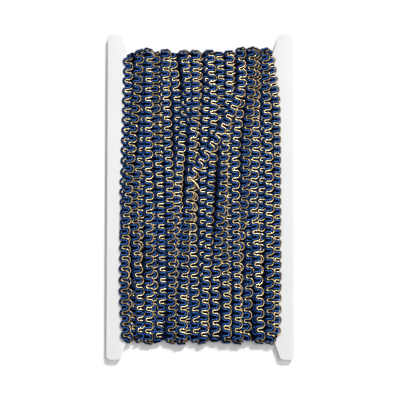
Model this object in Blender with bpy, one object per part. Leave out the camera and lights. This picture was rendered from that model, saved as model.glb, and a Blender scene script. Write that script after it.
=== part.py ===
# Scroll gimp braid, blue with gold, wound by hand on an H-shaped card. It lies on its back, seen from above:
# +X runs across the card, +Y up the card and +Z out of its face. The origin is under the middle, on the surface.
import math

import bpy
import numpy as np
from mathutils import Vector

OBJECT = "braid_trim_on_card"
MM = 0.001

# Card: a flat board with a notch in its head and one in its foot, which the braid is wound through
CARD_HEIGHT = 0.254
CARD_WIDTH = 0.145
CARD_THICKNESS = 0.002
WEB_HALF = 0.1085  # from the middle of the card to the floor of each notch
NOTCH_FLOOR_HALF = 0.0554  # half of the notch's width at its floor
NOTCH_MOUTH_HALF = 0.0617  # and at the end of the card
TAB_RADIUS = 0.0035
NOTCH_RADIUS = 0.0015
ARC_STEPS = 5

# Braid: one narrow ribbon, its cords looped to and fro
BRAID_WIDTH = 0.009
BRAID_THICKNESS = 0.0018
PITCH = 0.0082  # length of one loop of its cords

# Pile: how the turns of braid lie on each other
GAP = 0.0003  # between touching pieces
BACK_PILE = 0.0052  # from the surface to the underside of the card, less the gap
INNER_TURNS = 0.0014  # height of the hidden turns, which the ones in the table lie on
INNER_HALF = 0.048
INNER_SHOULDER = 0.005
EVENNESS = 0.75  # how much of the pile's hollows the hidden turns fill
HOLLOW_WIDTH = 0.006
FULL_SHARE = 0.9  # the share of the trial pile that lies below the level which the hollows are filled to
SINK = 0.0003  # a turn presses this far into what it lies on
FIRM_PILE = 0.0052  # what stands higher than this is pressed to half of its rise
LEAST_EDGE = 0.0007
MOST_TILT = 0.28  # steepest side slope of a turn that lies half on its neighbour
BEARING_SHARE = 0.8  # a turn bears on the highest fifth of what is under each part of it
SIDE_PART = 0.2  # its sides start this far from its middle, as a share of its half width
MIDDLE_PART = 0.4
TURN_STIFFNESS = 0.8  # in stations, the length over which a turn's height evens out
SKIN_SMOOTHING = 1.4  # in steps of the map
WRAP_HALF = 0.0551  # half of the winding's width where it passes through the notches
FACE_HALF = 0.063
SPREAD_LENGTH = 0.004  # from a notch to where the winding has spread to its full width

# Mesh of the winding
FACE_STEPS = 26
WRAP_STEPS = 6
ACROSS = 62  # points across the winding
SHARP_ANGLE = math.radians(50)
MAP_STEP = 0.0005
MAP_HALF = 0.066

# Where the middle of each turn lies across the card, in millimetres, at seven heights down the front face, in the
# order that the turns were wound. The last row is the turn whose front is the loose end, so only its head counts.
HEIGHTS = (110, 73.4, 36.7, 0, -36.6, -73.3, -110)
TURNS = (
    ("right_edge", 54.5, 59.6, 60.2, 60.2, 60.2, 59.8, 58.5),
    ("right_second", 51, 52, 53, 53.5, 54, 54, 54.5),
    ("right_third", 45, 43.5, 41, 38.5, 39, 37.5, 36),
    ("right_fourth", 43, 43, 43.5, 41, 43.5, 45.5, 46.5),
    ("right_fifth", 40.5, 39.5, 36, 35, 31, 29.5, 29),
    ("right_sixth", 15.5, 17, 18, 18.5, 18.5, 20.5, 21),
    ("middle_right", 7, 5.5, 3.5, 2.5, 2.5, 3, 4),
    ("middle_left", -21.5, -17.5, -16, -17, -15.5, -14, -15),
    ("middle_crossing", -9.5, -11, -14.5, -17.5, -20, -20, -19),
    ("middle", -12.5, -7.5, -6, -6.5, -5.5, -4, -2.5),
    ("left_sixth", -27, -28, -30.5, -33, -35.5, -35.5, -36.5),
    ("left_fifth", -34, -34.5, -32.5, -30.5, -29, -28, -31.5),
    ("left_third", -41.5, -42.5, -44.5, -51, -49, -46.5, -45),
    ("left_edge", -55.5, -55.9, -57.2, -57.8, -57.2, -56.2, -54.5),
    ("top_first", -46.5, -49.5, -53.2, -55.6, -57.8, -57.8, -56.3),
    ("top_second", -39, -40, -40, -39.5, -39, -38.5, -39.5),
    ("top_third", -26.5, -26, -24.5, -23.5, -22, -21.5, -22),
    ("top_fourth", -3, -3, -6, -7.5, -11, -12, -13.5),
    ("top_fifth", 8, 11, 10.5, 8, 6.5, 4.5, 3),
    ("top_sixth", 23.5, 22.5, 19.5, 17.5, 14, 12, 12.5),
    ("top_seventh", 32.5, 32, 27.5, 27.5, 28, 29, 29.5),
    ("top_last", 32, 32, 32, 32, 32, 32, 32),
)

# Loose end: the last of the braid, laid down the face and then slantwise over the turns. Millimetres, x and y.
LOOSE_START = 0.1  # height on the card at which the last turn leaves the winding
LOOSE_ROUTE = (
    (32.7, 99.4), (32.9, 88.8), (32, 81.1), (29.9, 75.5), (26.8, 69.1), (23.4, 62.1), (19.4, 54.6),
    (15.4, 48), (10.9, 41), (6.3, 33.8), (2, 27), (-2.6, 20.6), (-6.6, 13.8),
)
LOOSE_STEP = PITCH / 4
SCALLOP = 0.0004  # how far the loops stand out of the loose end's sides
TAIL_ROUTE = ((-6.7, 12.9), (-6.1, 12.1), (-4.4, 10.9), (-2.6, 9.1), (-1.2, 7.2), (-0.1, 5.2))
TAIL_DIAMETER = 0.0013
SUPPORT_REACH = 0.004  # the loose end is stiff over about this length, and bridges the valleys between turns
SUPPORT_POINTS = 9  # tried across its width
ROUTE_STEPS = 20  # between two points of a route
LOOSE_SECTION = ((-1, 0.35), (-0.8, 0.9), (-0.3, 1), (0.3, 1), (0.8, 0.9), (1, 0.35), (0.85, 0), (-0.85, 0))

# Places worked out from those
CARD_Z = BACK_PILE + GAP + CARD_THICKNESS / 2
WRAP_RADIUS = CARD_THICKNESS / 2 + GAP
HALF_BRAID = BRAID_WIDTH / 2


def clear_scene():
    for obj in list(bpy.data.objects):
        bpy.data.objects.remove(obj)


def material(name, colour, roughness, metallic=0.0):
    mat = bpy.data.materials.new(name)
    mat.use_nodes = True
    shader = mat.node_tree.nodes["Principled BSDF"]
    shader.inputs["Base Color"].default_value = (*colour, 1)
    shader.inputs["Roughness"].default_value = roughness
    shader.inputs["Metallic"].default_value = metallic
    mat.diffuse_color = (*colour, 1)
    return mat


def add(collection, name, data, mat):
    obj = bpy.data.objects.new(name, data)
    data.materials.append(mat)
    collection.objects.link(obj)
    return obj


def lofted_mesh(name, points, faces):
    mesh = bpy.data.meshes.new(name)
    mesh.from_pydata([tuple(p) for p in points], [], faces)
    mesh.shade_smooth()
    mesh.set_sharp_from_angle(angle=SHARP_ANGLE)
    return mesh


def eased(t):
    t = np.clip(t, 0, 1)
    return t * t * (3 - 2 * t)


def smoothed(values, width):
    # Weighted mean along an open row of values, width being the spread of the weights in steps
    reach = int(3 * width) + 1
    weights = np.exp(-0.5 * (np.arange(-reach, reach + 1) / width) ** 2)
    padded = np.pad(values, reach, mode="edge")
    return np.convolve(padded, weights / weights.sum(), mode="valid")


# Card

def rounded_outline(corners):
    # Each corner is (x, y, radius) and becomes an arc that meets both of its sides
    outline = []
    for i, (x, y, radius) in enumerate(corners):
        here = Vector((x, y))
        before = (Vector(corners[i - 1][:2]) - here).normalized()
        after = (Vector(corners[(i + 1) % len(corners)][:2]) - here).normalized()
        half_angle = before.angle(after) / 2
        centre = here + (before + after).normalized() * radius / math.sin(half_angle)
        start = here + before * radius / math.tan(half_angle) - centre
        end = here + after * radius / math.tan(half_angle) - centre
        for step in range(ARC_STEPS + 1):
            way = start.lerp(end, step / ARC_STEPS).normalized()
            outline.append(centre + way * radius)
    return outline


def card_outline():
    half_width, half_height = CARD_WIDTH / 2, CARD_HEIGHT / 2
    quarter = [
        (half_width, half_height, TAB_RADIUS),
        (NOTCH_MOUTH_HALF, half_height, TAB_RADIUS),
        (NOTCH_FLOOR_HALF, WEB_HALF, NOTCH_RADIUS),
    ]
    head = quarter + [(-x, y, r) for x, y, r in reversed(quarter)]
    return rounded_outline(head + [(x, -y, r) for x, y, r in reversed(head)])


def make_card(collection):
    curve = bpy.data.curves.new("card", "CURVE")
    curve.dimensions = "2D"
    curve.fill_mode = "BOTH"
    curve.extrude = CARD_THICKNESS / 2
    outline = card_outline()
    spline = curve.splines.new("POLY")
    spline.points.add(len(outline) - 1)
    for point, place in zip(spline.points, outline):
        point.co = (*place, 0, 1)
    spline.use_cyclic_u = True
    card = add(collection, "card", curve, material("white_board", (0.83, 0.83, 0.84), 0.55))
    card.location.z = CARD_Z
    return card


# Winding

def stations():
    # One row for each step round the web: y, z, outward y, outward z and the side of the card.
    # Down the front, round the foot, up the back and round the head.
    even = np.linspace(LOOSE_START, -LOOSE_START, FACE_STEPS + 1)
    face = [WEB_HALF, WEB_HALF - SPREAD_LENGTH, *even, SPREAD_LENGTH - WEB_HALF, -WEB_HALF]
    angles = np.arange(1, WRAP_STEPS) * math.pi / WRAP_STEPS
    rows = [(y, CARD_Z + WRAP_RADIUS, 0, 1, "front") for y in face]
    for a in angles:
        sine, cosine = math.sin(a), math.cos(a)
        rows.append((-WEB_HALF - WRAP_RADIUS * sine, CARD_Z + WRAP_RADIUS * cosine, -sine, cosine, "foot"))
    rows += [(-y, CARD_Z - WRAP_RADIUS, 0, -1, "back") for y in face]
    for a in angles[::-1]:
        sine, cosine = math.sin(a), math.cos(a)
        rows.append((WEB_HALF + WRAP_RADIUS * sine, CARD_Z + WRAP_RADIUS * cosine, sine, cosine, "head"))
    return rows


def half_room(row, at_notch, on_face):
    # The room either side of the middle, which is least in the notches
    spread = eased((WEB_HALF - abs(row[0])) / SPREAD_LENGTH)
    return at_notch + (on_face - at_notch) * spread


def turn_centre(row, turn, next_turn):
    # Down the front a turn keeps its own line, and up the back it slants over to where the next one starts
    y, side = row[0], row[4]
    own = np.interp(-y, [-h * MM for h in HEIGHTS], [x * MM for x in turn[1:]])
    foot, head = turn[-1] * MM, next_turn[1] * MM
    across = {"front": own, "foot": foot, "head": head}.get(side)
    if side == "back":
        across = foot + (head - foot) * eased((y + WEB_HALF) / (2 * WEB_HALF))
    room = half_room(row, WRAP_HALF - HALF_BRAID, FACE_HALF - HALF_BRAID)
    return min(max(across, -room), room)


def rest_on(pile, across, centre):
    # Height and side slope of a ribbon that rests at centre on the pile's section
    side = (across - centre) / HALF_BRAID
    left = np.quantile(pile[(side > -1) & (side < -SIDE_PART)], BEARING_SHARE)
    right = np.quantile(pile[(side < 1) & (side > SIDE_PART)], BEARING_SHARE)
    middle = np.quantile(pile[abs(side) < MIDDLE_PART], BEARING_SHARE)
    slope = np.clip((right - left) / (HALF_BRAID * (1 + SIDE_PART)), -MOST_TILT, MOST_TILT)
    return max((left + right) / 2, middle) - SINK, slope


def lay_turn(pile, across, rows, turn, next_turn, wound):
    # Lays one turn over the stations that it is wound at, and raises the pile by it
    centres = np.array([turn_centre(row, turn, next_turn) for row in rows])
    rests = np.array([rest_on(pile[i], across, c) for i, c in enumerate(centres)])
    heights, slopes = (smoothed(values, TURN_STIFFNESS) for values in rests.T)
    for i, centre in enumerate(centres):
        if wound(rows[i]):
            side = (across - centre) / HALF_BRAID
            crown = BRAID_THICKNESS * np.sqrt(np.clip(1 - side**4, 0, 1))
            top = heights[i] + slopes[i] * (across - centre) + crown
            pile[i] = np.where(abs(side) < 1, np.maximum(pile[i], top), pile[i])
    return centres


def lay_all(hidden, across, rows):
    # All the turns in the order that they were wound, on a copy of the hidden ones
    pile, reach = hidden.copy(), []
    first = TURNS[0]
    lead_in = lay_turn(pile, across, rows, first, first, lambda row: row[4] == "head")
    for turn, next_turn in zip(TURNS, TURNS[1:]):
        reach.append(lay_turn(pile, across, rows, turn, next_turn, lambda row: True))
    reach.append(np.where([row[4] == "head" for row in rows], lead_in, reach[0]))
    return pile, reach


def wind():
    # The finished pile: its section at each station, and how far it reaches to each side
    rows = stations()
    across = np.arange(-MAP_HALF, MAP_HALF + MAP_STEP / 2, MAP_STEP)
    shoulder = eased((INNER_HALF + INNER_SHOULDER - abs(across)) / INNER_SHOULDER)
    hidden = np.tile(INNER_TURNS * shoulder, (len(rows), 1))
    trial = lay_all(hidden, across, rows)[0]
    level = np.array([smoothed(section, HOLLOW_WIDTH / MAP_STEP) for section in trial])
    full = np.quantile(level[:, abs(across) < INNER_HALF], FULL_SHARE)
    hidden += EVENNESS * np.clip(full - level, 0, full) * shoulder
    pile, reach = lay_all(hidden, across, rows)
    low, high = np.min(reach, axis=0) - HALF_BRAID, np.max(reach, axis=0) + HALF_BRAID
    room = np.array([half_room(row, WRAP_HALF, FACE_HALF) for row in rows])
    low, high = np.maximum(low, -room), np.minimum(high, room)
    pile = np.where(pile > FIRM_PILE, (pile + FIRM_PILE) / 2, pile)
    # The last turn ends square where the loose end begins, so the section there is doubled
    cut = next(i for i, row in enumerate(rows) if row[0] == LOOSE_START)
    rows.insert(cut, (LOOSE_START + GAP, *rows[cut][1:]))
    pile, low, high = (np.insert(part, cut, part[cut], axis=0) for part in (pile, low, high))
    last = TURNS[-1]
    lay_turn(pile, across, rows, last, last, lambda row: row[4] == "front" and row[0] > LOOSE_START)
    return rows, across, pile, low, high


def make_winding(collection, rows, across, pile, low, high):
    # A closed ring round the web: an outer skin over the pile, and an inner one that is straight from side to side
    outer, inner = [], []
    for row, section, left, right in zip(rows, pile, low, high):
        y, z, out_y, out_z = row[:4]
        places = np.linspace(left, right, ACROSS)
        rise = np.maximum(np.interp(places, across, smoothed(section, SKIN_SMOOTHING)), LEAST_EDGE)
        outer += [(x, y + out_y * h, max(z + out_z * h, 0)) for x, h in zip(places, rise)]
        inner += [(left, y, z), (right, y, z)]
    faces = []
    count, base = len(rows), len(outer)
    for i in range(count):
        j = (i + 1) % count
        here, there = i * ACROSS, j * ACROSS
        for k in range(ACROSS - 1):
            faces.append((here + k, there + k, there + k + 1, here + k + 1))
        left, right = (base + 2 * i, base + 2 * j), (base + 2 * i + 1, base + 2 * j + 1)
        faces.append((left[1], left[0], right[0], right[1]))
        faces.append((here, left[0], left[1], there))
        faces.append((there + ACROSS - 1, right[1], right[0], here + ACROSS - 1))
    mesh = lofted_mesh("winding", outer + inner, faces)
    return add(collection, "winding", mesh, material("blue_and_gold_braid", (0.03, 0.06, 0.2), 0.6))


# Loose end and its tail

def smooth_route(route, step):
    # A smooth line through the route's points, at even steps of about that length
    pts = [np.array(p) * MM for p in route]
    pts = [2 * pts[0] - pts[1]] + pts + [2 * pts[-1] - pts[-2]]
    line = []
    for a, b, c, d in zip(pts, pts[1:], pts[2:], pts[3:]):
        for t in np.linspace(0, 1, ROUTE_STEPS, endpoint=False):
            line.append(b + (c - a) * t / 2 + (2 * a - 5 * b + 4 * c - d) * t**2 / 2
                        + (3 * b - a - 3 * c + d) * t**3 / 2)
    line = np.array(line + [pts[-2]])
    lengths = np.append(0, np.cumsum(np.linalg.norm(np.diff(line, axis=0), axis=1)))
    even = np.linspace(0, lengths[-1], round(lengths[-1] / step) + 1)
    return np.column_stack([np.interp(even, lengths, line[:, k]) for k in (0, 1)]), even


def sides_of(line):
    # The direction to the right of each point of a line
    way = np.gradient(line, axis=0)
    way /= np.linalg.norm(way, axis=1)[:, None]
    return np.column_stack([-way[:, 1], way[:, 0]])


def face_height(rows, across, pile, x, y):
    # Height of the pile's front at a point of the face
    front = [i for i, row in enumerate(rows) if row[4] == "front"]
    heights = [np.interp(x, across, pile[i]) for i in front]
    return np.interp(-y, [-rows[i][0] for i in front], heights)


def highest_under(rows, across, pile, line, half_width):
    # The highest point of the pile under each point of a line of that width, along the length that it bridges
    sides = sides_of(line)
    shares = np.linspace(-half_width, half_width, SUPPORT_POINTS)
    places = [p + s * side for p, side in zip(line, sides) for s in shares]
    found = np.array([face_height(rows, across, pile, *p) for p in places]).reshape(len(line), -1).max(axis=1)
    step = np.linalg.norm(line[1] - line[0])
    reach = max(1, round(SUPPORT_REACH / step))
    bridged = np.array([found[max(0, i - reach): i + reach + 1].max() for i in range(len(found))])
    return CARD_Z + WRAP_RADIUS + np.maximum(smoothed(bridged, reach / 2), found) + GAP


def make_loose_end(collection, rows, across, pile):
    line, along = smooth_route(LOOSE_ROUTE, LOOSE_STEP)
    sides = sides_of(line)
    floor = highest_under(rows, across, pile, line, HALF_BRAID)
    points = []
    for place, side, z, length in zip(line, sides, floor, along):
        scallop = SCALLOP * math.cos(2 * math.pi * length / PITCH)
        for u, v in LOOSE_SECTION:
            x, y = place + side * (u * (HALF_BRAID - SCALLOP) + scallop)
            points.append((x, y, z + v * BRAID_THICKNESS))
    size = len(LOOSE_SECTION)
    faces = [tuple(range(size)), tuple(range(len(points) - size, len(points)))[::-1]]
    for i in range(len(line) - 1):
        for k in range(size):
            here, beside = i * size + k, i * size + (k + 1) % size
            faces.append((here, here + size, beside + size, beside))
    mesh = lofted_mesh("loose_end", points, faces)
    add(collection, "loose_end", mesh, material("blue_and_gold_braid_end", (0.03, 0.07, 0.24), 0.6))
    return floor[-1]


def make_tail(collection, rows, across, pile, start_z):
    line, along = smooth_route(TAIL_ROUTE, 2 * TAIL_DIAMETER)
    radius = TAIL_DIAMETER / 2
    floor = highest_under(rows, across, pile, line, radius) + radius
    down = eased(along / along[-1])
    from_end = start_z + BRAID_THICKNESS / 2 * (1 - down)
    heights = np.maximum(from_end, floor) * (1 - down) + floor * down
    curve = bpy.data.curves.new("gold_tail", "CURVE")
    curve.dimensions = "3D"
    curve.bevel_depth = radius
    curve.bevel_resolution = 2
    curve.use_fill_caps = True
    spline = curve.splines.new("POLY")
    spline.points.add(len(line) - 1)
    for point, (x, y), z in zip(spline.points, line, heights):
        point.co = (x, y, z, 1)
    add(collection, "gold_tail", curve, material("gold_cord", (0.75, 0.52, 0.2), 0.35, 0.8))


def main():
    clear_scene()
    collection = bpy.data.collections.new(OBJECT)
    bpy.context.scene.collection.children.link(collection)
    make_card(collection)
    rows, across, pile, low, high = wind()
    make_winding(collection, rows, across, pile, low, high)
    end_z = make_loose_end(collection, rows, across, pile)
    make_tail(collection, rows, across, pile, end_z)


main()
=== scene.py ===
# Blue and gold scroll gimp braid, wound by hand on a white card that lies on its back.
# Shapes are worked out in millimetres and turned into metres as each mesh is made.
import math

import bpy
import numpy as np
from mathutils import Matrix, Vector


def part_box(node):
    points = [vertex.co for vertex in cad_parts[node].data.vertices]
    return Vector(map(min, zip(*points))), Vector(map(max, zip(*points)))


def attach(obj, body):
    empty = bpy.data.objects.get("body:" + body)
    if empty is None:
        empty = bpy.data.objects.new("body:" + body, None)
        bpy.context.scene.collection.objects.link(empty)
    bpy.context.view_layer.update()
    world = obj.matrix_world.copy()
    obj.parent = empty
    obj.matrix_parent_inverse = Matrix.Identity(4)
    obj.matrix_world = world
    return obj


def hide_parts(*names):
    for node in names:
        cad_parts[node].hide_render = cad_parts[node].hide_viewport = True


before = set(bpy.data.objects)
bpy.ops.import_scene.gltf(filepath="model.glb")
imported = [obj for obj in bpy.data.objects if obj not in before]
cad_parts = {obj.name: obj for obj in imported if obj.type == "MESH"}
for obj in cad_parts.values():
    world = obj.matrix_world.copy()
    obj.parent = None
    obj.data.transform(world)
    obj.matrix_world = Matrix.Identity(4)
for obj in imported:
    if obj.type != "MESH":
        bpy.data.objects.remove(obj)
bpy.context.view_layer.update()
print("frame loaded")

mm = 0.001
cardLow, cardHigh = (np.array(corner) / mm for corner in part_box("card"))
cardMid = (cardLow[2] + cardHigh[2]) / 2
chance = np.random.default_rng(11)

# The way round the card's web: down the front, round the foot, up the back and round the head
way = dict(
    webHalf=108.5,  # from the card's middle to the floor of a notch
    clear=0.3,  # between board and braid
    meanPile=4.0,  # height at which the length round an end is measured
    rows=312,  # steps of the height map round the card
    notchFloor=55.4,
    notchMouth=61.7,
    cordRoom=0.25,  # between a cord and the side of a notch
    pinchReach=3.2,  # how far above and below the board's middle a notch presses on the loops
    pinchEase=(1.6, 0.6),  # lengths over which the pressing fades, upwards and along the card
)
wrapRadius = (cardHigh[2] - cardLow[2]) / 2 + way["clear"]
faceLength = 2 * way["webHalf"]
endLength = math.pi * (wrapRadius + way["meanPile"])
roundLength = 2 * (faceLength + endLength)
rowStep = roundLength / way["rows"]

# How the turns lie on each other
pileUp = dict(
    thick=1.8,  # height that one turn adds
    sink=0.25,  # how far it presses into what it lies on
    tilt=0.30,  # steepest side slope
    inner=0.9,  # height of the turns that nothing shows of
    innerHalf=48.0,
    innerRight=7.0,  # how much further the hidden turns reach on the right
    endReach=5.0,  # and round the ends on the left
    endEase=6.0,  # how far from the ends that starts
    shoulder=5.0,
    evenness=0.75,  # how much of the hollows the hidden turns fill
    fullShare=0.9,  # share of the pile that lies below the level which they are filled to
    hollow=6.0,  # width over which that level evens out
    bearing=0.85,  # share of what is under each part of a turn that lies lower than where it rests
    sidesFrom=0.2,  # its sides start this far from its middle, as a share of its half width
    middleTo=0.4,
    turnEase=2.5,  # steps over which a turn's height evens out
    lineEase=2,  # and the height of the whole braid
    aheadEase=3,  # and its way across the card
    mapStep=0.5,  # between the height map's columns
    mapHalf=66.0,
    faceRoom=59.6,  # how far out the middle of a turn may lie on a face, and in a notch
    notchRoom=54.6,
    roomEase=(4.0, 10.0),  # where the first changes to the second, from the face's end
    leadIn=62.0,  # length of the braid's hidden start, up the back
)

# One loop of the two cords, which run side by side to and fro across the braid
loops = dict(
    width=9.0,
    length=8.1,  # along the braid, for one loop of both cords
    tighter=0.0047,  # what a loop on the front loses for each mm up the card
    blueThick=1.65,
    goldThick=1.15,
    goldRaised=0.15,  # how far its underside lies above the blue cord's
    blueBars=(4.25, 7.15),  # places along the braid of the cord's two bars
    goldBars=(0.52, 2.78),
    blueAcross=(-1.15, 0.80),  # left and right end of each bar
    goldAcross=(-0.85, 1.20),
    blueWide=2.30,  # how far the wide and the tight turn stand out past the bars
    blueTight=1.35,
    goldWide=2.65,
    goldTight=1.0,
    blueRings=18,
    goldRings=20,
    bendSteps=40,  # points round each turn, before a cord's rings are spaced evenly
    blueSides=8,
    goldSides=6,
    goldMiddle=1.65,  # place along the braid of the gold cord's tight turn
    goldSinks=0.7,  # how far the gold cord, which is the tighter one, is pulled in round the ends
    sinkEase=(2, 4),  # how far before the end that starts, and the length it takes
    leanEase=0.8,  # part of the way up from the back over which a turn's lean comes in
    stitchHalf=2.3,  # the stitching along the middle that holds the cords together, a dark band that also stands as painted shade in the gaps between them
    stitchTop=0.8,  # share of that width which its top has
    stitchThick=0.5,
    stitchDeep=0.55,  # below the middle of the cords
    stitchStep=0.25,  # as a share of a loop
    waist=0.22,  # how far the stitching pulls the bars down along the middle
    waistHalf=0.8,
    droop=1.2,  # how far the loops sag at the sides
    rollEdge=61.1,  # past this on the right the loops bend down over the edge of the pile
    rollRadius=1.1,
)

# The turns in the order that they were wound. The first four show only in the gaps between the others, and the
# last one leaves the winding near the head.
heights = (110, 73.4, 36.7, 0, -36.6, -73.3, -110)
turns = (
    # name, its middle across the card at each of those heights on the front, height of one of its gold turns
    ("hiddenLeft", (-42.9, -43.9, -44.9, -46.9, -47.9, -49.9, -50.9), 100.0),
    ("hiddenMiddle", (-1.9, -2.9, -4.4, -5.9, -7.4, -8.9, -9.9), 97.0),
    ("hiddenThird", (24.1, 23.6, 23.1, 22.1, 21.6, 20.6, 20.1), 101.5),
    ("hiddenRight", (51.1, 50.1, 48.6, 47.1, 45.6, 44.1, 43.1), 98.0),
    ("rightEdge", (53.6, 58.7, 59.3, 59.3, 59.3, 58.9, 57.6), 101.4),
    ("rightSecond", (50.1, 51.1, 52.1, 52.6, 53.1, 53.1, 53.6), 103.7),
    ("rightThird", (44.1, 42.6, 40.1, 37.6, 38.1, 36.6, 35.1), -46.4),
    ("rightFourth", (42.1, 42.1, 42.6, 40.1, 42.6, 44.6, 45.6), 51.6),
    ("rightFifth", (39.6, 38.6, 35.1, 34.1, 30.1, 28.6, 28.1), 106.8),
    ("rightSixth", (14.6, 16.1, 17.1, 17.6, 17.6, 19.6, 20.1), 99.8),
    ("middleRight", (6.1, 4.6, 2.6, 1.6, 1.6, 2.1, 3.1), 74.9),
    ("middleLeft", (-22.4, -18.4, -16.9, -17.9, -16.4, -14.9, -15.9), 106.0),
    ("middleCrossing", (-10.4, -11.9, -15.4, -18.4, -20.9, -20.9, -19.9), 71.8),
    ("middle", (-13.4, -8.4, -6.9, -7.4, -6.4, -4.9, -3.4), 89.7),
    ("leftSixth", (-27.9, -28.9, -31.4, -33.9, -36.4, -36.4, -37.4), 102.2),
    ("leftFifth", (-34.9, -35.4, -33.4, -31.4, -29.9, -28.9, -32.4), 102.2),
    ("leftThird", (-42.4, -43.4, -45.4, -51.9, -49.9, -47.4, -45.9), 105.3),
    ("leftEdge", (-56.4, -56.8, -58.1, -58.7, -58.1, -57.1, -55.4), 104.9),
    ("topFirst", (-47.4, -50.4, -54.1, -56.5, -58.7, -58.7, -57.2), 102.2),
    ("topSecond", (-39.9, -40.9, -40.9, -40.4, -39.9, -39.4, -40.4), 105.3),
    ("topThird", (-27.4, -26.9, -25.4, -24.4, -22.9, -22.4, -22.9), 106.0),
    ("topFourth", (-3.9, -3.9, -6.9, -8.4, -11.9, -12.9, -14.4), 105.3),
    ("topFifth", (7.1, 10.1, 9.6, 7.1, 5.6, 3.6, 2.1), 102.9),
    ("topSixth", (22.6, 21.6, 18.6, 16.6, 13.1, 11.1, 11.6), 102.9),
    ("topSeventh", (31.6, 31.1, 26.6, 26.6, 27.1, 28.1, 28.6), 59.4),
    ("topLast", (31.5, 31.1, 31.1, 31.1, 31.1, 31.1, 31.1), 106.0),
)

# The loose end: x and y on the card, from where it leaves the winding
loose = dict(
    start=100.0,  # height on the card at which it leaves
    route=(
        (31.8, 99.4), (32, 88.8), (31.1, 81.1), (29, 75.5), (25.9, 69.1), (22.5, 62.1), (18.5, 54.6),
        (14.5, 48), (10, 41), (5.4, 33.8), (1.1, 27), (-3.5, 20.6), (-7.7, 13.4), (-9.8, 9.9),
    ),
    longer=8.2,  # length of a loop below this height, where it lies slack
    slackFrom=77.0,
    goldStops=0.46,  # share of its last loop that the gold cord goes before it leaves as the tail
    tail=((-7, 11.5), (-5, 10.1), (-3, 7.9), (-1.8, 6.0), (-1, 4.2)),
    tailThick=1.5,
    tailStep=0.8,
    tailDrop=0.6,  # share of the way down to the turns that its tip comes
    tailFall=(-0.5, 1.1),  # stretch of an eased fall that the tail goes through
    routeStep=1.0,
    routePoints=24,  # between two given points, before they are spaced evenly
    bridge=4.0,  # length over which it is too stiff to follow the valleys
    bridgePlaces=9,  # tried across its width
    press=0.2,  # how far it may sink into what it bridges
    lift=0.3,  # how far it stands off the turns once it is clear of them
    clearBy=18.0,
)


def eased(t):
    t = np.clip(t, 0, 1)
    return t * t * (3 - 2 * t)


def smoothed(values, width):
    # weighted mean along an open row of values
    reach = int(3 * width) + 1
    weights = np.exp(-0.5 * (np.arange(-reach, reach + 1) / width) ** 2)
    return np.convolve(np.pad(values, reach, mode="edge"), weights / weights.sum(), mode="valid")


def aroundCard(along, height):
    # y, z and outward direction of a point at that length round the card and height off the board
    s = np.mod(along, roundLength)
    out = wrapRadius + height
    onFoot = (s - faceLength) / endLength * math.pi
    onHead = (s - 2 * faceLength - endLength) / endLength * math.pi
    flat = np.zeros_like(s)
    parts = [s < faceLength, s < faceLength + endLength, s < 2 * faceLength + endLength]
    outY = np.select(parts, [flat, -np.sin(onFoot), flat], np.sin(onHead))
    outZ = np.select(parts, [flat + 1, np.cos(onFoot), flat - 1], -np.cos(onHead))
    half = way["webHalf"]
    baseY = np.select(parts, [half - s, flat - half, s - faceLength - endLength - half], flat + half)
    return baseY + out * outY, cardMid + out * outZ, outY, outZ


def endDepth(along):
    # how far round an end of the card a place is, or below 0, how far it still is from the end on a face
    place = np.mod(along, faceLength + endLength)
    onFace = -np.minimum(place, faceLength - place)
    return np.where(place < faceLength, onFace, np.minimum(place - faceLength, faceLength + endLength - place))


def turnMiddle(turn, nextTurn, along):
    # down the front a turn keeps its own line, and up the back it slants over to where the next one starts
    front = np.interp(along - way["webHalf"], [-h for h in heights], turn[1])
    climb = eased((along - faceLength - endLength) / faceLength)
    back = turn[1][-1] + (nextTurn[1][0] - turn[1][-1]) * climb
    middle = np.where(along < faceLength, front, back)
    low, high = pileUp["roomEase"]
    turned = eased((endDepth(along) - low) / (high - low))
    room = pileUp["faceRoom"] + (pileUp["notchRoom"] - pileUp["faceRoom"]) * turned
    return np.clip(middle, -room, room)


def restOn(section, across, middle):
    # height and side slope of a turn that rests at middle on a section of the pile
    half = loops["width"] / 2
    side = (across - middle) / half
    bearing, sidesFrom = pileUp["bearing"], pileUp["sidesFrom"]
    left = np.quantile(section[(side > -1) & (side < -sidesFrom)], bearing)
    right = np.quantile(section[(side < 1) & (side > sidesFrom)], bearing)
    centre = np.quantile(section[abs(side) < pileUp["middleTo"]], bearing)
    slope = np.clip((right - left) / ((1 + sidesFrom) * half), -pileUp["tilt"], pileUp["tilt"])
    return max((left + right) / 2, centre) - pileUp["sink"], slope


def layTurn(pile, across, middles, rowNumbers):
    rests = np.array([restOn(pile[row], across, x) for row, x in zip(rowNumbers, middles)])
    height, slope = (smoothed(values, pileUp["turnEase"]) for values in rests.T)
    for row, x, low, tilt in zip(rowNumbers, middles, height, slope):
        side = (across - x) / (loops["width"] / 2)
        top = low + tilt * (across - x) + pileUp["thick"] * np.sqrt(np.clip(1 - side**4, 0, 1))
        pile[row] = np.where(abs(side) < 1, np.maximum(pile[row], top), pile[row])
    return height, slope


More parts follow.
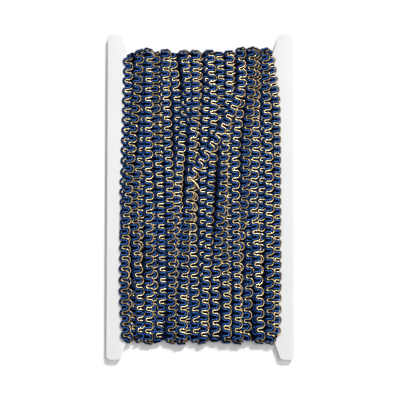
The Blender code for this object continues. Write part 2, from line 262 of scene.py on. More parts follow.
def layAll(hidden, across):
    # lays every turn on a copy of the hidden ones, and gives the line of the whole braid and the pile
    pile = hidden.copy()
    lead = int(pileUp["leadIn"] / rowStep)
    leadRows = np.arange(way["rows"] - lead, way["rows"])
    first = turns[0]
    middles = [turnMiddle(first, first, leadRows * rowStep)]
    laid = [layTurn(pile, across, middles[0], leadRows)]
    rows = np.arange(way["rows"])
    for turn, nextTurn in zip(turns, turns[1:]):
        middles.append(turnMiddle(turn, nextTurn, rows * rowStep))
        laid.append(layTurn(pile, across, middles[-1], rows))
    last = turns[-1]
    lastRows = np.arange(int((way["webHalf"] - loose["start"]) / rowStep) + 1)
    middles.append(turnMiddle(last, last, lastRows * rowStep))
    laid.append(layTurn(pile, across, middles[-1], lastRows))
    height = np.concatenate([part[0] for part in laid])
    slope = np.concatenate([part[1] for part in laid])
    line = dict(
        x=smoothed(np.concatenate(middles), pileUp["aheadEase"]),
        s=(np.arange(len(height)) - lead) * rowStep,
        height=smoothed(height, pileUp["lineEase"]),
        slope=smoothed(slope, pileUp["lineEase"]),
    )
    return pile, line


across = np.arange(-pileUp["mapHalf"], pileUp["mapHalf"] + 0.1, pileUp["mapStep"])
innerReach = pileUp["innerHalf"] + pileUp["shoulder"] + np.where(across > 0, pileUp["innerRight"], 0)
rowDepth = endDepth(np.arange(way["rows"]) * rowStep)
endShare = eased(rowDepth / pileUp["endEase"] + 1)
reach = innerReach[None, :] + np.where(across > 0, 0, pileUp["endReach"]) * endShare[:, None]
shoulder = eased((reach - abs(across)) / pileUp["shoulder"])
hidden = pileUp["inner"] * shoulder
trial = layAll(hidden, across)[0]
level = np.array([smoothed(section, pileUp["hollow"] / pileUp["mapStep"]) for section in trial])
full = np.quantile(level[:, abs(across) < pileUp["innerHalf"]], pileUp["fullShare"])
hidden += pileUp["evenness"] * np.clip(full - level, 0, full) * shoulder
pile, wound = layAll(hidden, across)
print("turns laid")


def heightOfPile(x, y):
    # height of the finished pile at points of the front face
    row = np.clip((way["webHalf"] - y) / rowStep, 0, faceLength / rowStep - 1)
    column = (x + pileUp["mapHalf"]) / pileUp["mapStep"]
    i, j = row.astype(int), column.astype(int)
    u, v = row - i, column - j
    upper = pile[i, j] * (1 - v) + pile[i, j + 1] * v
    lower = pile[i + 1, j] * (1 - v) + pile[i + 1, j + 1] * v
    return upper * (1 - u) + lower * u


def smoothRoute(route, step):
    # a smooth line through given points, at even steps
    pts = [np.array(p, float) for p in route]
    pts = [2 * pts[0] - pts[1]] + pts + [2 * pts[-1] - pts[-2]]
    line = []
    for a, b, c, d in zip(pts, pts[1:], pts[2:], pts[3:]):
        t = np.linspace(0, 1, loose["routePoints"], endpoint=False)[:, None]
        curved = (2 * a - 5 * b + 4 * c - d) * t**2 / 2 + (3 * b - a - 3 * c + d) * t**3 / 2
        line.append(b + (c - a) * t / 2 + curved)
    line = np.vstack(line + [pts[-2]])
    lengths = np.append(0, np.cumsum(np.linalg.norm(np.diff(line, axis=0), axis=1)))
    even = np.linspace(0, lengths[-1], round(lengths[-1] / step) + 1)
    return np.column_stack([np.interp(even, lengths, line[:, k]) for k in (0, 1)])


def bridged(line, halfWidth):
    # height that a flat strip of that width lies at along a line on the front
    ahead = np.gradient(line, axis=0)
    ahead /= np.linalg.norm(ahead, axis=1)[:, None]
    right = np.column_stack([-ahead[:, 1], ahead[:, 0]])
    found = []
    for share in np.linspace(-1, 1, loose["bridgePlaces"]):
        place = line + right * share * halfWidth
        found.append(heightOfPile(place[:, 0], place[:, 1]))
    found = np.max(found, axis=0)
    reach = max(1, round(loose["bridge"] / np.linalg.norm(line[1] - line[0])))
    highest = np.array([found[max(0, i - reach): i + reach + 1].max() for i in range(len(found))])
    return np.maximum(smoothed(highest, reach / 2), found - loose["press"])


def wholeBraid():
    # the wound line with the loose end's line after it, and how many of its points are wound
    freeLine = smoothRoute(loose["route"], loose["routeStep"])
    freeHeight = bridged(freeLine, loops["width"] / 2)
    freeHeight += loose["lift"] * eased(np.arange(len(freeLine)) / loose["clearBy"])
    turnStart = (len(turns) - 1) * roundLength
    line = {
        "x": np.append(wound["x"], freeLine[:, 0]),
        "s": np.append(wound["s"], turnStart + way["webHalf"] - freeLine[:, 1]),
        "height": smoothed(np.append(wound["height"], freeHeight), pileUp["lineEase"]),
        "slope": smoothed(np.append(wound["slope"], 0 * freeHeight), pileUp["aheadEase"]),
    }
    line["length"] = np.append(0, np.cumsum(np.hypot(np.diff(line["x"]), np.diff(line["s"]))))
    return line, len(wound["x"])


def countLoops(line):
    # loops grow a little longer down the front, as the braid was wound tighter there, and each front keeps its
    # own place for them, so the back before it takes up what is left over
    length, s = line["length"], line["s"]
    y = way["webHalf"] - np.mod(s, roundLength)
    onFront = np.mod(s, roundLength) < faceLength
    long = np.where(onFront, loops["length"] - loops["tighter"] * y, loops["length"])
    long[woundPoints:] = np.where(y[woundPoints:] < loose["slackFrom"], loose["longer"], long[woundPoints:])
    # round the ends a turn that lies high has further to go
    further = (wrapRadius + line["height"]) / (wrapRadius + way["meanPile"])
    rate = np.where(endDepth(s) > 0, further, 1) / long
    steps = np.diff(length) * (rate[1:] + rate[:-1]) / 2
    count = np.append(0, np.cumsum(steps))
    goal = loops["goldMiddle"] / loops["length"]
    shift = np.zeros_like(count)
    for i, turn in enumerate(turns):
        at = np.interp(i * roundLength + way["webHalf"] - turn[2], s, count)
        begin = i * roundLength
        had = np.interp(begin, s, shift)
        wanted = had + (goal - (at + had) + 0.5) % 1 - 0.5
        before = begin - faceLength - 2 * endLength
        climb = np.clip((s - before) / (begin - before), 0, 1)
        shift = np.where(s > before, shift + (wanted - had) * climb, shift)
    return count + shift


braid, woundPoints = wholeBraid()
braid["count"] = countLoops(braid)
print("loops counted:", round(braid["count"][-1]))


def loopLine(bars, ends, wide, tight, side, rings):
    # one loop of a cord as (across, along): side 1 has its tight turn at the right, and -1 at the left
    first, second = bars
    near, far = ends if side > 0 else ends[::-1]
    bend = np.linspace(-math.pi / 2, math.pi / 2, loops["bendSteps"])
    half, gap = (second - first) / 2, (loops["length"] + first - second) / 2
    tightTurn = np.column_stack([far + side * tight * np.cos(bend), first + half + half * np.sin(bend)])
    wideTurn = np.column_stack([near - side * wide * np.cos(bend), second + gap + gap * np.sin(bend)])
    line = np.vstack([(near, first), tightTurn, wideTurn])
    lengths = np.append(0, np.cumsum(np.linalg.norm(np.diff(line, axis=0), axis=1)))
    even = np.linspace(0, lengths[-1], rings, endpoint=False)
    return np.column_stack([np.interp(even, lengths, line[:, k]) for k in (0, 1)])


blueLoop = loopLine(
    loops["blueBars"], loops["blueAcross"], loops["blueWide"], loops["blueTight"], 1, loops["blueRings"])
goldLoop = loopLine(
    loops["goldBars"], loops["goldAcross"], loops["goldWide"], loops["goldTight"], -1, loops["goldRings"])

# Small unevenness of each loop, the same for both cords
loopCount = int(braid["count"][-1]) + 4
uneven = dict(
    wider=1 + chance.normal(0, 0.035, loopCount),
    aside=chance.normal(0, 0.16, loopCount),
    skew=chance.normal(0, 0.10, loopCount),
    lift=chance.normal(0, 0.10, loopCount),
    along=chance.normal(0, 0.10, loopCount),
)


def cordPoints(loop, firstLoop, lastLoop, rise, sinks=0.0):
    # the line of one cord from one loop of the braid to another, with the way up at each point
    numbers = np.arange(firstLoop, lastLoop)
    side = np.tile(loop[:, 0], len(numbers))
    at = (numbers[:, None] + loop[None, :, 1] / loops["length"]).ravel()
    spot = np.clip(at, 0, loopCount - 1)
    vary = {key: np.interp(spot, np.arange(loopCount), value) for key, value in uneven.items()}
    side = side * vary["wider"] + vary["aside"]
    at = at + (vary["skew"] * side + vary["along"]) / loops["length"]
    count, length = braid["count"], braid["length"]
    at = np.clip(at, count[0], count[-1])
    ell = np.interp(at, count, length)
    x, s = np.interp(ell, length, braid["x"]), np.interp(ell, length, braid["s"])
    aheadX = np.interp(ell + 0.5, length, braid["x"]) - np.interp(ell - 0.5, length, braid["x"])
    aheadS = np.interp(ell + 0.5, length, braid["s"]) - np.interp(ell - 0.5, length, braid["s"])
    size = np.hypot(aheadX, aheadS)
    x, s = x + side * aheadS / size, s - side * aheadX / size
    slope = np.interp(ell, length, braid["slope"])
    half = loops["width"] / 2
    waist = loops["waist"] * np.exp(-((side / loops["waistHalf"]) ** 2))
    droop = loops["droop"] * (side / half) ** 4
    height = np.interp(ell, length, braid["height"]) + slope * side + rise - waist - droop + vary["lift"]
    height -= sinks * eased((endDepth(s) + loops["sinkEase"][0]) / loops["sinkEase"][1])
    outZ = aroundCard(s, 0)[3]
    limit = (cardMid - rise) / np.maximum(-outZ, 0.2) - wrapRadius
    height = np.where(outZ < 0, np.minimum(height, limit), height)
    bend = np.clip((x - loops["rollEdge"]) / loops["rollRadius"], 0, math.pi / 2)
    x = np.where(bend > 0, loops["rollEdge"] + loops["rollRadius"] * np.sin(bend), x)
    height = np.maximum(height - loops["rollRadius"] * (1 - np.cos(bend)), np.minimum(height, rise))
    y, z, upY, upZ = aroundCard(s, height)
    x = pinched(x, y, z, rise)
    lean = slope * eased((outZ + 1) / loops["leanEase"])
    ups = np.column_stack([-lean, upY, upZ])
    return np.column_stack([x, y, z]), ups / np.linalg.norm(ups, axis=1)[:, None]


def pinched(x, y, z, radius):
    # the sides of a notch press the loops inwards where they pass through it
    beyond = abs(y) - way["webHalf"]
    slant = (way["notchMouth"] - way["notchFloor"]) / (cardHigh[1] - way["webHalf"])
    limit = way["notchFloor"] + slant * np.maximum(beyond, 0) - radius - way["cordRoom"]
    upwards, along = way["pinchEase"]
    closeness = eased((way["pinchReach"] + radius - abs(z - cardMid)) / upwards)
    closeness *= eased((beyond + along) / along)
    over = np.maximum(abs(x) - limit, 0)
    return x - np.sign(x) * over * closeness


def tube(points, ups, section):
    # ring after ring of points round a line: the section's points are (up, right), turning from up to right
    ahead = np.gradient(points, axis=0)
    ahead /= np.linalg.norm(ahead, axis=1)[:, None]
    right = np.cross(ahead, ups)
    right /= np.linalg.norm(right, axis=1)[:, None]
    up = np.cross(right, ahead)
    sides = len(section)
    rings = points[:, None] + section[None, :, :1] * up[:, None] + section[None, :, 1:] * right[:, None]
    i, j = np.meshgrid(np.arange(len(points) - 1), np.arange(sides), indexing="ij")
    beside = (j + 1) % sides
    here, there = i * sides, (i + 1) * sides
    quads = np.stack([here + j, here + beside, there + beside, there + j], axis=-1)
    caps = [np.arange(sides)[::-1], np.arange(sides) + (len(points) - 1) * sides]
    return rings.reshape(-1, 3), quads.reshape(-1, 4), caps


def roundSection(radius, sides):
    turn = np.arange(sides) * 2 * math.pi / sides
    return radius * np.column_stack([np.cos(turn), np.sin(turn)])


# Where each kind of cord lies in its piece's map: every loop has a strip there, and every eighth one shares it
cordMap = dict(strips=8, blue=(0.0, 0.45), gold=(0.45, 0.9), stitch=(0.92, 1.0))


def tubeMap(loopTotal, rings, sides, kind):
    low, high = cordMap[kind]
    tall = (high - low) / cordMap["strips"]
    i, j = np.meshgrid(np.arange(loopTotal * rings), np.arange(sides), indexing="ij")
    number, ring = i // rings % cordMap["strips"], i % rings
    left, right = ring / rings, (ring + 1) / rings
    bottom = low + tall * (number + j / sides)
    top = low + tall * (number + (j + 1) / sides)
    corners = [(left, bottom), (left, top), (right, top), (right, bottom)]
    return np.stack([np.stack(corner, axis=-1) for corner in corners], axis=2).reshape(-1, 4, 2)


def placed(name, data):
    # a new object of that data, in the scene
    made = bpy.data.objects.new(name, data)
    bpy.context.scene.collection.objects.link(made)
    return made


def meshOf(name, parts, materials):
    # one mesh of several tubes: parts are (points in mm, quads, caps, map, material number)
    mesh = bpy.data.meshes.new(name)
    start, cornerLists, sizes, maps, numbers, points = 0, [], [], [], [], []
    for place, quads, caps, uv, number in parts:
        points.append(place * mm)
        cornerLists.append((quads + start).ravel())
        sizes.append(np.full(len(quads), 4))
        maps.append(uv.reshape(-1, 2))
        for cap in caps:
            cornerLists.append(cap + start)
            sizes.append([len(cap)])
            maps.append(np.tile(uv[0, 0], (len(cap), 1)))
        numbers.append(np.full(len(quads) + len(caps), number))
        start += len(place)
    points = np.concatenate(points)
    corners, sizes = np.concatenate(cornerLists), np.concatenate(sizes)
    mesh.vertices.add(len(points))
    mesh.vertices.foreach_set("co", points.ravel())
    mesh.loops.add(len(corners))
    mesh.loops.foreach_set("vertex_index", corners)
    mesh.polygons.add(len(sizes))
    mesh.polygons.foreach_set("loop_start", np.append(0, np.cumsum(sizes)[:-1]))
    mesh.polygons.foreach_set("material_index", np.concatenate(numbers))
    mesh.polygons.foreach_set("use_smooth", np.ones(len(sizes), bool))
    mesh.update(calc_edges=True)
    mapLayer = mesh.uv_layers.new(name="OFBake")
    mapLayer.uv.foreach_set("vector", np.concatenate(maps).astype(np.float32).ravel())
    for material in materials:
        mesh.materials.append(material)
    mesh.validate()
    return placed(name, mesh)


def cordPart(kind, firstLoop, lastLoop, number, stops=1.0):
    loop = blueLoop if kind == "blue" else goldLoop
    thick, rings, sides = loops[kind + "Thick"], loops[kind + "Rings"], loops[kind + "Sides"]
    rise, sinks = thick / 2, 0.0
    if kind == "gold":
        rise, sinks = rise + loops["goldRaised"], loops["goldSinks"]
    points, ups = cordPoints(loop, firstLoop, lastLoop, rise, sinks)
    kept = (lastLoop - firstLoop - 1 + stops) * rings
    points, ups = points[: round(kept)], ups[: round(kept)]
    place, quads, caps = tube(points, ups, roundSection(thick / 2, sides))
    uv = tubeMap(lastLoop - firstLoop, rings, sides, kind)[: len(quads)]
    return place, quads, caps, uv, number


def stitchAndShadePart(firstLoop, lastLoop, number):
    # the stitching along the middle, a flat dark band that the cords are caught in, and near-black painted
    # shade for the gaps between the cords
    steps = np.arange(0, 1, loops["stitchStep"]) * loops["length"]
    line = np.column_stack([0 * steps, steps])
    rise = loops["blueThick"] / 2 - loops["stitchDeep"] + loops["waist"]
    points, ups = cordPoints(line, firstLoop, lastLoop, rise)
    wide, high = loops["stitchHalf"], loops["stitchThick"] / 2
    top = wide * loops["stitchTop"]
    section = np.array([(high, top), (0, wide), (-high, 0), (0, -wide), (high, -top)])
    place, quads, caps = tube(points, ups, section)
    uv = tubeMap(lastLoop - firstLoop, len(steps), len(section), "stitch")[: len(quads)]
    return place, quads, caps, uv, number


def fill(tree, slot, value):
    # sets a node's input, or links it to another node's output
    if isinstance(value, Socket):
        tree.links.new(value.socket, slot)
    else:
        slot.default_value = value


class Socket:
    # wraps a node's output, so that shader sums read as plain ones
    def __init__(self, tree, socket):
        self.tree, self.socket = tree, socket

    def node(self, kind, settings=(), output=0, **values):
        made = self.tree.nodes.new(kind)
        for key, value in dict(settings).items():
            setattr(made, key, value)
        for key, value in values.items():
            place = int(key[1:]) if key[1:].isdigit() else key.replace("_", " ")
            fill(self.tree, made.inputs[place], value)
        return Socket(self.tree, made.outputs[output])

    def maths(self, operation, *values):
        numbered = {f"i{n}": value for n, value in enumerate(values)}
        return self.node("ShaderNodeMath", {"operation": operation}, **numbered)

    def __add__(self, other):
        return self.maths("ADD", self, other)

    def __sub__(self, other):
        return self.maths("SUBTRACT", self, other)

    def __rsub__(self, other):
        return self.maths("SUBTRACT", other, self)

    def __mul__(self, other):
        return self.maths("MULTIPLY", self, other)

    __radd__ = __add__

    def wave(self):
        # 0 to 1 and back, once for each whole number
        return self.maths("SINE", self * (2 * math.pi)) * 0.5 + 0.5

    def between(self, low, high):
        found = self.maths("DIVIDE", self - low, high - low)
        found.socket.node.use_clamp = True
        return found

    def mix(self, first, second):
        # self is the share of the second colour
        return self.node("ShaderNodeMix", {"data_type": "RGBA"}, 2, Factor=self, i6=first, i7=second)

    def grain(self, size, detail=2.0, rough=0.5):
        # self is a place, and the answer is uneven from 0 to 1
        return self.node("ShaderNodeTexNoise", Vector=self, Scale=size, Detail=detail, Roughness=rough)

    def parts(self):
        made = self.node("ShaderNodeSeparateXYZ", Vector=self).socket.node
        return [Socket(self.tree, made.outputs[i]) for i in range(3)]


def startMaterial(name, plain, reads):
    # a material, the place that its patterns read and the way to set its shader
    material = bpy.data.materials.new(name)
    material.use_nodes = True
    material.diffuse_color = (*plain, 1)
    tree = material.node_tree
    shader = tree.nodes["Principled BSDF"]
    place = Socket(tree, tree.nodes.new("ShaderNodeTexCoord").outputs[reads])

    def connect(**values):
        for key, value in values.items():
            fill(tree, shader.inputs[key.replace("_", " ")], value)
    return material, place, connect


def bumped(height, strength, distance):
    return height.node("ShaderNodeBump", Strength=strength, Distance=distance, Height=height)


cordLook = dict(
    plies=3,  # yarns twisted into the blue cord
    twists=9,  # in one loop of the cord
    goldPlies=2,
    goldTwists=15,
    # shares of a loop over which a turn is painted in shade, as the lamp's sheen falls on the bars and not on
    # the turns: a ramp to it, and one from it
    blueWide=(0.53, 0.64, 0.90, 0.99),
    blueTight=(0.16, 0.23, 0.29, 0.36),
    goldWide=(0.48, 0.62, 0.86, 0.98),
    turnShade=(0.80, 0.35, 0.66),  # how much painted shade in each of those three turns
    # the deep colours below are painted shade for the sides of the cords, and the bright ones painted
    # highlights for their tops
    blueShade=(0.0006, 0.0012, 0.007, 1),
    blueMid=(0.002, 0.014, 0.125, 1),
    blueHighlight=(0.08, 0.30, 0.95, 1),
    goldShade=(0.05, 0.014, 0.001, 1),
    goldMid=(0.70, 0.30, 0.035, 1),
    goldHighlight=(1.0, 0.87, 0.53, 1),
)


def inTurn(u, ramps):
    # 1 where the cord goes round a turn, with a ramp to it and one from it
    return u.between(*ramps[:2]) * (1 - u.between(*ramps[2:]))


def twist(uv, plies, twists):
    # where a point lies on the twisted yarns, 0 in a groove and 1 on a yarn's back, how near it is to the
    # cord's top, its place along and around, and an unevenness that carries on from loop to loop
    u, v = uv.parts()[:2]
    around = v * (cordMap["strips"] / (cordMap["blue"][1] - cordMap["blue"][0]))
    ring = u * (2 * math.pi)
    spot = u.node("ShaderNodeCombineXYZ", X=u.maths("COSINE", ring), Y=u.maths("SINE", ring), Z=around * 0.3)
    yarn, top = (u * twists + around * plies).wave(), (around + 0.25).wave()
    return yarn, top, u, around, spot.grain(2.2, 2.0)


def blueCord():
    material, uv, connect = startMaterial("blueCord", (0.02, 0.06, 0.3), "UV")
    yarn, top, u, around, patch = twist(uv, cordLook["plies"], cordLook["twists"])
    fibre = (u * 70 + around * 26).wave()
    wideTurnShade, tightTurnShade = cordLook["turnShade"][:2]
    # painted shade on the turns, 1 on the bars
    turnShadeFactor = 1 - inTurn(u, cordLook["blueWide"]) * wideTurnShade - inTurn(u, cordLook["blueTight"]) * tightTurnShade
    # painted shade: the sides of the cord, the grooves between its yarns and its turns go towards the deep
    # colour, and only the part near its top keeps the mid blue
    colour = (top.between(0.90, 1.0) * (0.3 + yarn * 0.7) * (0.3 + turnShadeFactor * 0.7)).mix(
        cordLook["blueShade"], cordLook["blueMid"])
    # painted highlight: a bright stripe along the cord's top, on the backs of its yarns, in random patches and
    # weaker in the turns
    patchyLight = 0.3 + patch.between(0.38, 0.6) * 1.1
    paintedHighlight = top.between(0.93, 0.985) * yarn.between(0.0, 0.6) * patchyLight * turnShadeFactor
    colour = paintedHighlight.mix(colour, cordLook["blueHighlight"])
    connect(
        Base_Color=colour,
        Roughness=0.26 + (1 - yarn) * 0.3,
        Normal=bumped(yarn + fibre * 0.12, 0.6, 0.00012),
        Specular_IOR_Level=0.12,
        Specular_Tint=(0.35, 0.6, 1.0, 1),
    )
    return material


def goldCord():
    material, uv, connect = startMaterial("goldCord", (0.7, 0.5, 0.2), "UV")
    yarn, top, u, around, patch = twist(uv, cordLook["goldPlies"], cordLook["goldTwists"])
    strand = (u * 60 + around * 8).wave()
    patchyLight = patch.between(0.34, 0.62)
    # painted shade on the wide turn
    turnShadeFactor = 1 - inTurn(u, cordLook["goldWide"]) * cordLook["turnShade"][2]
    # painted shade: the sides of the cord, its grooves and its wide turn go towards the deep brown, and its
    # top keeps the mid gold, in random patches
    colour = (top.between(0.84, 0.98) * (0.6 + yarn * 0.4) * (0.4 + patchyLight * 0.6) * turnShadeFactor).mix(
        cordLook["goldShade"], cordLook["goldMid"])
    # painted highlight and glints: cream on the cord's top, on the backs of its yarns and strands
    sparkle = (yarn * 0.6 + strand * 0.4).between(0.0, 0.3)
    paintedHighlight = top.between(0.84, 0.97) * sparkle * (0.4 + patchyLight) * turnShadeFactor
    colour = paintedHighlight.mix(colour, cordLook["goldHighlight"])
    connect(
        Base_Color=colour,
        Metallic=0.92,
        Roughness=0.20 + (1 - yarn) * 0.2,
        Normal=bumped(yarn + strand * 0.3, 0.6, 0.00005),
    )
    return material


def innerBraidInShade():
    # near-black all over: painted shade for the turns that lie below the others and for the stitching band,
    # which show only in the gaps between the cords; its lighter bars and columns are painted light on the
    # loops there
    material, place, connect = startMaterial("innerBraidInShade", (0.01, 0.02, 0.08), "Object")
    x, y = place.parts()[:2]
    bars = (y * 480 + place.grain(90) * 1.2).wave()
    columns = (x * 110 + place.grain(40) * 0.8).wave()
    fibre = place.grain(1500, 3.0)
    lit = bars * columns * (0.4 + fibre)
    colour = lit.between(0.1, 1.1).mix((0.0006, 0.001, 0.004, 1), (0.005, 0.014, 0.06, 1))
    connect(
        Base_Color=colour,
        Roughness=0.75 + fibre * 0.2,
        Normal=bumped(lit + fibre * 0.3, 0.8, 0.0008),
        Specular_IOR_Level=0.05,
    )
    return material


def whiteBoard():
    material, place, connect = startMaterial("whiteBoard", (0.83, 0.83, 0.84), "Object")
    cloud = place.grain(30, 3.0)
    pulp = place.grain(1800, 2.0)
    colour = cloud.between(0.35, 0.65).mix((0.745, 0.745, 0.75, 1), (0.77, 0.77, 0.773, 1))
    connect(Base_Color=colour, Roughness=0.5 + pulp * 0.15, Normal=bumped(pulp + cloud * 2, 0.08, 0.0002))
    return material


blue, gold, dark, board = blueCord(), goldCord(), innerBraidInShade(), whiteBoard()
print("materials made")

# The camera, which comes before the pieces
view = dict(
    middle=(-0.35, -3.5),  # point of the card that the photograph's middle shows, in mm
    across=310.2,  # width of the view at the card's face
    distance=1350.0,
    tilt=5.3,  # degrees that it looks up the card
)


def placeCamera():
    data = bpy.data.cameras.new("camera")
    data.sensor_fit = "HORIZONTAL"
    data.sensor_width = 36
    data.lens = 36 * view["distance"] / view["across"]
    data.clip_end = 10
    camera = placed("camera", data)
    tilt = math.radians(view["tilt"])
    x, y = view["middle"]
    camera.location = (
        x * mm,
        (y - view["distance"] * math.sin(tilt)) * mm,
        (cardHigh[2] + view["distance"] * math.cos(tilt)) * mm,
    )
    camera.rotation_euler = (tilt, 0, 0)
    bpy.context.scene.camera = camera


placeCamera()
print("camera placed")


def finish(piece, slotName, *nodes):
    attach(piece, "root")
    if nodes:
        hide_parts(*nodes)
    return piece


turnPieces = dict(firstLoop=1, turnsEach=4)


def makeTurns():
    # the wound braid, up to the loop at which the loose end leaves it
    last = len(turns) - 1
    looseFrom = way["webHalf"] - loose["start"] + last * roundLength
    splitAt = int(np.interp(looseFrom, braid["s"], braid["count"]))
    starts = np.arange(turnPieces["turnsEach"], last, turnPieces["turnsEach"]) * roundLength
    counts = np.interp(starts, braid["s"], braid["count"]).astype(int)
    bounds = [turnPieces["firstLoop"], *counts, splitAt]
    for number, (low, high) in enumerate(zip(bounds, bounds[1:])):
        parts = [cordPart("blue", low, high, 0), cordPart("gold", low, high, 1), stitchAndShadePart(low, high, 2)]
        piece = meshOf(f"turns_{number + 1}", parts, [blue, gold, dark])
        finish(piece, "braid")
    return splitAt


def makeLooseEnd(splitAt):
    lastLoop = int(braid["count"][-1])
    goldPart = cordPart("gold", splitAt, lastLoop + 1, 1, loose["goldStops"])
    parts = [cordPart("blue", splitAt, lastLoop, 0), goldPart, stitchAndShadePart(splitAt, lastLoop, 2)]
    piece = meshOf("looseEnd", parts, [blue, gold, dark])
    finish(piece, "braid", "loose_end")
    goldEnd = goldPart[0][-loops["goldSides"]:].mean(axis=0)
    return piece, lastLoop, goldEnd


def braidLine(fromLoop, toLoop):
    # middle of the braid between two loops
    at = np.arange(fromLoop, toLoop + 0.01, 0.25)
    ell = np.interp(at, braid["count"], braid["length"])
    x, s = np.interp(ell, braid["length"], braid["x"]), np.interp(ell, braid["length"], braid["s"])
    height = np.interp(ell, braid["length"], braid["height"]) + pileUp["thick"] / 2
    y, z = aroundCard(s, height)[:2]
    return np.column_stack([x, y, z]) * mm


def makeTail(goldEnd):
    # the gold cord's end, which leaves the last loop and springs a little clear of the turns
    line = smoothRoute((goldEnd[:2],) + loose["tail"], loose["tailStep"])
    radius = loose["tailThick"] / 2
    floor = cardMid + wrapRadius + bridged(line, radius) + radius
    high = np.maximum(floor, goldEnd[2])
    down = loose["tailDrop"] * eased(np.linspace(*loose["tailFall"], len(line)))
    points = np.column_stack([line, high + (floor - high) * down])
    ups = np.tile((0.0, 0.0, 1.0), (len(points), 1))
    place, quads, caps = tube(points, ups, roundSection(radius, loops["blueSides"]))
    uv = tubeMap(1, round(len(line) / loose["goldStops"]), loops["blueSides"], "gold")[: len(quads)]
    piece = meshOf("goldTail", [(place, quads, caps, uv, 0)], [gold])
    return finish(piece, "gold_cord", "gold_tail")


innerRing = dict(
    onFace=57.5,  # half of its width
    inNotch=54.9,
    narrowing=(4, 1.2),  # ease from the first to the second, against the way into a notch
    rowsEach=3,  # rows of the height map to one of its own
    columns=90,
    cover=0.35,  # what it adds to the hidden turns' height, up to the most
    most=4.6,
)


def makeInner():
    # the hidden turns under the others, as a closed ring a little narrower than the winding
    rows = np.arange(0, way["rows"], innerRing["rowsEach"])
    stretch, ahead = innerRing["narrowing"]
    outer, inner = [], []
    for row in rows:
        depth = endDepth(row * rowStep)
        narrowed = (innerRing["onFace"] - innerRing["inNotch"]) * eased(depth / stretch + ahead)
        half = innerRing["onFace"] - narrowed
        columns = np.linspace(-half, half, innerRing["columns"])
        rise = np.minimum(np.interp(columns, across, hidden[row]) + innerRing["cover"], innerRing["most"])
        y, z = aroundCard(np.full(len(columns), row * rowStep), rise)[:2]
        outer.append(np.column_stack([columns, y, z]))
        y, z = aroundCard(row * rowStep, 0.0)[:2]
        inner.append([(-half, y, z), (half, y, z)])
    outer, inner = np.array(outer), np.array(inner)
    mesh = bpy.data.meshes.new("innerTurns")
    points = np.vstack([outer.reshape(-1, 3), inner.reshape(-1, 3)]) * mm
    faces, wide, base = [], innerRing["columns"], len(rows) * innerRing["columns"]
    for i in range(len(rows)):
        j = (i + 1) % len(rows)
        here, there = i * wide, j * wide
        faces += [(here + k, there + k, there + k + 1, here + k + 1) for k in range(wide - 1)]
        left, leftNext, right, rightNext = base + 2 * i, base + 2 * j, base + 2 * i + 1, base + 2 * j + 1
        faces += [(leftNext, left, right, rightNext), (here, left, leftNext, there)]
        faces.append((there + wide - 1, rightNext, right, here + wide - 1))
    mesh.from_pydata(points.tolist(), [], faces)
    mesh.shade_smooth()
    # the hidden turns are near-black, painted shade
    mesh.materials.append(dark)
    return finish(placed("innerTurns", mesh), "braid", "winding")


cardEdge = dict(
    width=0.35,
    segments=3,
    merge=0.01,
    flat=1,  # degrees under which two faces count as one
    rubbed=50,  # past which the edge between them is rubbed round
    smooth=35,  # and up to which it looks smooth
)


def makeCard():
    # the card as it was cut, with its edges rubbed round
    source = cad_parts["card"]
    bpy.ops.object.select_all(action="DESELECT")
    mesh = source.data.copy()
    mesh.materials.clear()
    piece = placed("whiteCard", mesh)
    piece.select_set(True)
    bpy.context.view_layer.objects.active = piece
    bpy.ops.object.mode_set(mode="EDIT")
    bpy.ops.mesh.select_all(action="SELECT")
    bpy.ops.mesh.remove_doubles(threshold=cardEdge["merge"] * mm)
    bpy.ops.mesh.dissolve_limited(angle_limit=math.radians(cardEdge["flat"]))
    bpy.ops.mesh.normals_make_consistent(inside=False)
    bpy.ops.object.mode_set(mode="OBJECT")
    bevel = piece.modifiers.new("rubbedEdge", "BEVEL")
    bevel.width = cardEdge["width"] * mm
    bevel.segments = cardEdge["segments"]
    bevel.limit_method = "ANGLE"
    bevel.angle_limit = math.radians(cardEdge["rubbed"])
    bpy.ops.object.modifier_apply(modifier=bevel.name)
    bpy.ops.object.shade_smooth_by_angle(angle=math.radians(cardEdge["smooth"]))
    mesh.materials.append(board)
    piece.select_set(False)
    return finish(piece, "white_board", "card")


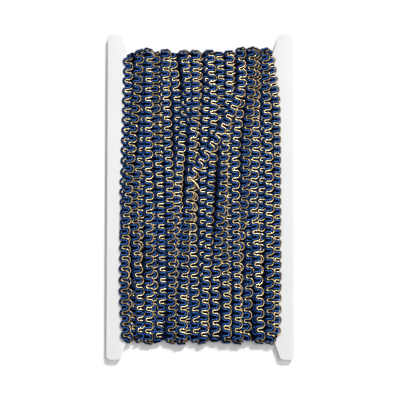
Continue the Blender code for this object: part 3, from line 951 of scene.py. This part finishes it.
makeCard()
print("card made")
makeInner()
print("hidden turns made")
splitAt = makeTurns()
print("turns made")
looseEnd, toLoop, goldEnd = makeLooseEnd(splitAt)
path = braidLine(splitAt, toLoop)
goldTail = makeTail(goldEnd)


studio = dict(
    floor=(0.93, 0.93, 0.93),
    floorRough=0.9,
    floorGloss=0.1,
    floorSize=60,  # in metres
    floorDown=0.2,  # below the lowest loops, in mm
    horizon=0.9,  # brightness of the surroundings low down, and overhead
    overhead=0.09,
    fade=(0.35, 0.14),  # heights between which the one changes to the other
    lamps=(
        # name, direction that it shines from, how wide it looks in degrees, strength
        ("softLamp", (0.6, -0.1, 3.2), 40, 1.4),
        ("keyLamp", (0.95, 1.8, 3.0), 10, 2.1),
    ),
)


def makeStudio():
    bpy.ops.mesh.primitive_plane_add(size=studio["floorSize"], location=(0, 0, -studio["floorDown"] * mm))
    floor = bpy.context.object
    floor.name = "floor"
    material = bpy.data.materials.new("paleFloor")
    material.use_nodes = True
    shader = material.node_tree.nodes["Principled BSDF"]
    shader.inputs["Base Color"].default_value = (*studio["floor"], 1)
    shader.inputs["Roughness"].default_value = studio["floorRough"]
    shader.inputs["Specular IOR Level"].default_value = studio["floorGloss"]
    floor.data.materials.append(material)
    world = bpy.data.worlds.new("softSurroundings")
    world.use_nodes = True
    tree = world.node_tree
    coords = tree.nodes.new("ShaderNodeTexCoord")
    up = Socket(tree, coords.outputs["Generated"]).parts()[2]
    overhead = studio["overhead"]
    strength = up.between(*studio["fade"]) * (studio["horizon"] - overhead) + overhead
    tree.nodes["Background"].inputs["Color"].default_value = (1, 1, 1, 1)
    tree.links.new(strength.socket, tree.nodes["Background"].inputs["Strength"])
    bpy.context.scene.world = world
    for name, direction, width, power in studio["lamps"]:
        lamp = bpy.data.lights.new(name, "SUN")
        lamp.angle = math.radians(width)
        lamp.energy = power
        holder = placed(name, lamp)
        holder.location = Vector(direction)
        holder.rotation_euler = Vector(direction).to_track_quat("Z", "Y").to_euler()
    bpy.context.scene.view_settings.view_transform = "Standard"


makeStudio()
print("studio made")
